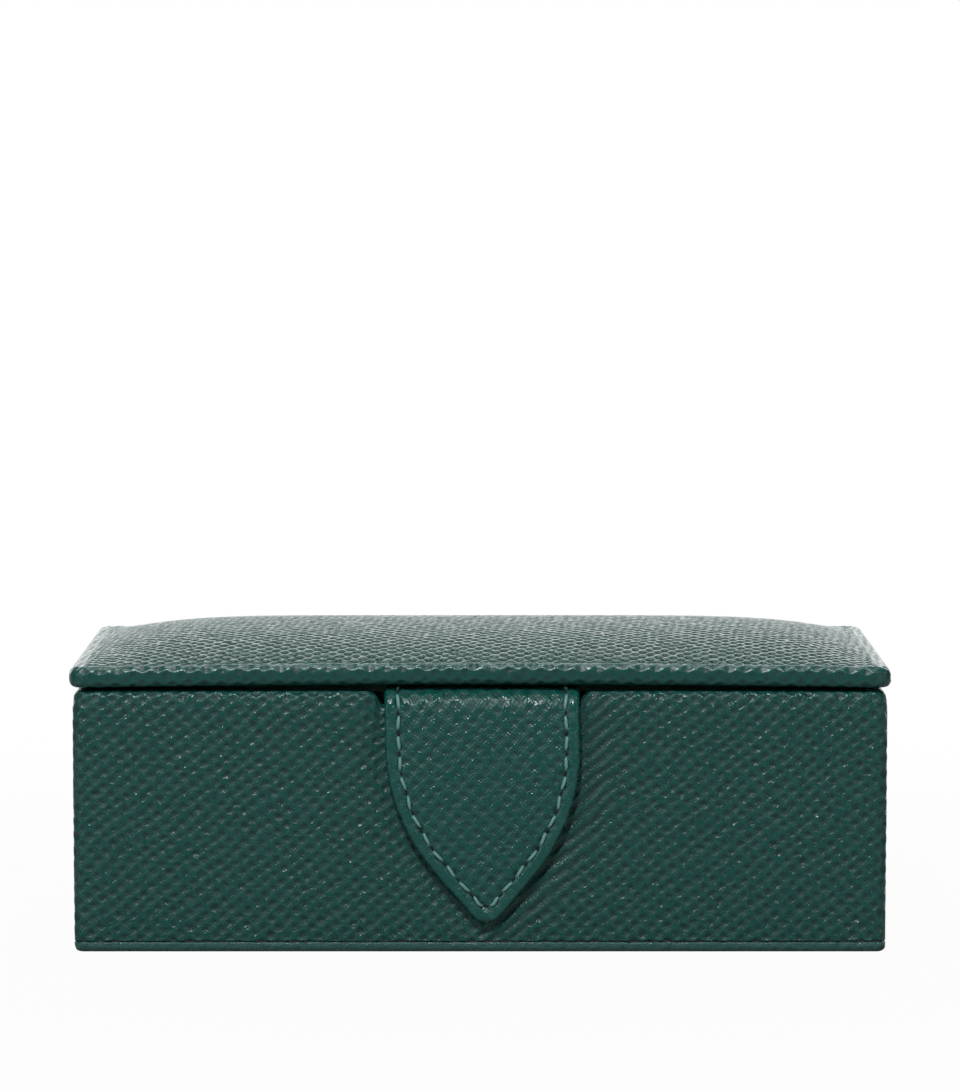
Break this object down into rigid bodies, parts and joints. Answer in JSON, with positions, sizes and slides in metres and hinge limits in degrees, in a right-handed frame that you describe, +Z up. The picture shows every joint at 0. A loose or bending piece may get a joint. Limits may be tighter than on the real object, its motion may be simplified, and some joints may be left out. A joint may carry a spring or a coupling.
{
  "type": "cufflink box",
  "caption": "Leather-covered jewellery box with padded hinged lid, pointed magnetic closing tab, divided tray and end drawer.",
  "frame": {"origin": "middle of the underside", "axes": "+X along the width towards the drawer's end, +Y towards the hinge at the back, +Z up; the closing tab faces -Y"},
  "size_m": [0.1509, 0.0969, 0.0556],
  "materials": {
    "green_leather": "dark green cross-grain leather, satin",
    "tab_leather": "slightly greener cross-grain leather, satin, painted edges",
    "suede": "green suede lining, matt nap",
    "felt": "dark green felt",
    "foam": "pale foam padding",
    "board": "grey bookbinder's board",
    "wood": "plain planed hardwood",
    "steel": "plain nickel-plated steel",
    "thread": "waxed green thread"
  },
  "bodies": {
    "root": {"base_board": "board", "base_cover": "green_leather", "underside_felt": "felt", "front_wall_board": "board", "back_wall_board": "board", "left_wall_board": "board", "right_wall_board": "board", "body_cover": "green_leather", "spine_cover": "green_leather", "spine_fold": "green_leather", "inner_hinge": "suede", "closure_keeper": "steel", "shelf_board": "board", "shelf_lining": "suede", "wall_lining": "suede", "bay_floor_lining": "suede", "drawer_guide_front": "wood", "drawer_guide_back": "wood", "drawer_stop_strip": "wood", "long_divider_1": "suede", "long_divider_2": "suede", "cross_divider_1": "suede", "cross_divider_2": "suede", "cross_divider_3": "suede", "cross_divider_4": "suede"},
    "lid": {"lid_board": "board", "lid_pad": "foam", "lid_cover": "green_leather", "lid_lining": "suede", "tab_root": "tab_leather"},
    "tab": {"tab_leather": "tab_leather", "tab_lining": "tab_leather", "tab_stitching": "thread", "closure_magnet": "steel"},
    "drawer": {"drawer_front_board": "board", "drawer_front_cover": "green_leather", "drawer_floor": "board", "drawer_side_front": "board", "drawer_side_back": "board", "drawer_end": "board", "drawer_lining": "suede", "drawer_divider_1": "suede", "drawer_divider_2": "suede", "pull_root": "green_leather", "pull_stitching": "thread"},
    "pull": {"drawer_pull": "green_leather"}
  },
  "joints": [
    {"name": "lid_hinge", "type": "hinge", "parent": "root", "child": "lid", "pos_m": [0, 0.0473, 0.04815], "axis": [-1, 0, 0], "range_deg": [0, 100], "deforming": ["spine_fold", "inner_hinge"]},
    {"name": "tab_flex", "type": "hinge", "parent": "lid", "child": "tab", "pos_m": [0, -0.0478, 0.0471], "axis": [-1, 0, 0], "range_deg": [0, 85]},
    {"name": "drawer_slide", "type": "slide", "parent": "root", "child": "drawer", "axis": [1, 0, 0], "range_m": [0, 0.095]},
    {"name": "pull_lift", "type": "hinge", "parent": "drawer", "child": "pull", "pos_m": [0.075, 0, 0.014], "axis": [0, -1, 0], "range_deg": [0, 80]}
  ]
}
